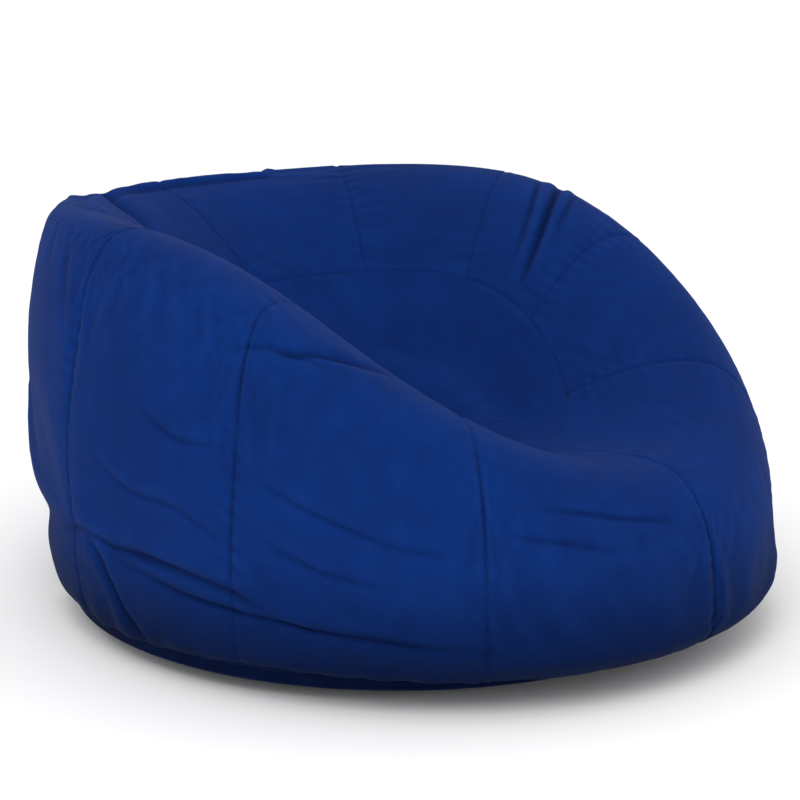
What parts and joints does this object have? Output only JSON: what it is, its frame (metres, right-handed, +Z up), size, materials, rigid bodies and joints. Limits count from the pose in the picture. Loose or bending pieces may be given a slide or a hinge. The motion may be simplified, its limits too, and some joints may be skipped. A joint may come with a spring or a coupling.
{
  "type": "bean bag chair",
  "caption": "Child's round bean bag chair, sat into a reclining hollow with a low front, foam filled inner liner, and a zipped fabric cover of side gores, crown and base.",
  "frame": {"origin": "centre of the bounding box on the floor, under the middle of the bag", "axes": "+Z up, -Y towards the low front of the seat where the legs go, +X to the sitter's left"},
  "size_m": [0.834, 0.934, 0.4843],
  "materials": {
    "cover_fabric": "matte",
    "zip_tape": "matte",
    "zip_coil": "satin",
    "zip_metal": "satin",
    "label_satin": "satin",
    "liner_fabric": "matte",
    "liner_coil": "satin",
    "shredded_foam": "matte"
  },
  "bodies": {
    "bag": {"side_panel_01": "cover_fabric", "side_panel_02": "cover_fabric", "side_panel_03": "cover_fabric", "side_panel_04": "cover_fabric", "side_panel_05": "cover_fabric", "side_panel_06": "cover_fabric", "side_panel_07": "cover_fabric", "side_panel_08": "cover_fabric", "side_panel_09": "cover_fabric", "side_panel_10": "cover_fabric", "crown_panel": "cover_fabric", "base_panel": "cover_fabric", "cover_zip_tape_lower": "zip_tape", "cover_zip_tape_upper": "zip_tape", "cover_zip_coil_lower": "zip_coil", "cover_zip_coil_upper": "zip_coil", "cover_zip_stop_closed": "zip_metal", "cover_zip_stop_open": "zip_metal", "care_label": "label_satin", "liner_shell": "liner_fabric", "liner_base_front": "liner_fabric", "liner_base_rear": "liner_fabric", "liner_zip_tape_front": "liner_fabric", "liner_zip_tape_rear": "liner_fabric", "liner_zip_coil_front": "liner_coil", "liner_zip_coil_rear": "liner_coil", "liner_zip_stop_closed": "zip_metal", "liner_zip_stop_open": "zip_metal", "foam_filling": "shredded_foam"},
    "cover_slider": {"cover_zip_slider": "zip_metal"},
    "cover_pull": {"cover_zip_pull": "zip_metal"},
    "liner_slider": {"liner_zip_slider": "zip_metal"}
  },
  "joints": [
    {"name": "cover_zip_run", "type": "hinge", "parent": "bag", "child": "cover_slider", "pos_m": [0, 0, 0.0292], "axis": [0, 0, 1], "range_deg": [0, 136]},
    {"name": "cover_pull_swing", "type": "hinge", "parent": "cover_slider", "child": "cover_pull", "pos_m": [0.38846, -0.09685, 0.0292], "axis": [0, 0, 1], "range_deg": [0, 175]},
    {"name": "liner_zip_run", "type": "slide", "parent": "bag", "child": "liner_slider", "axis": [1, 0, 0], "range_m": [0, 0.45]}
  ]
}
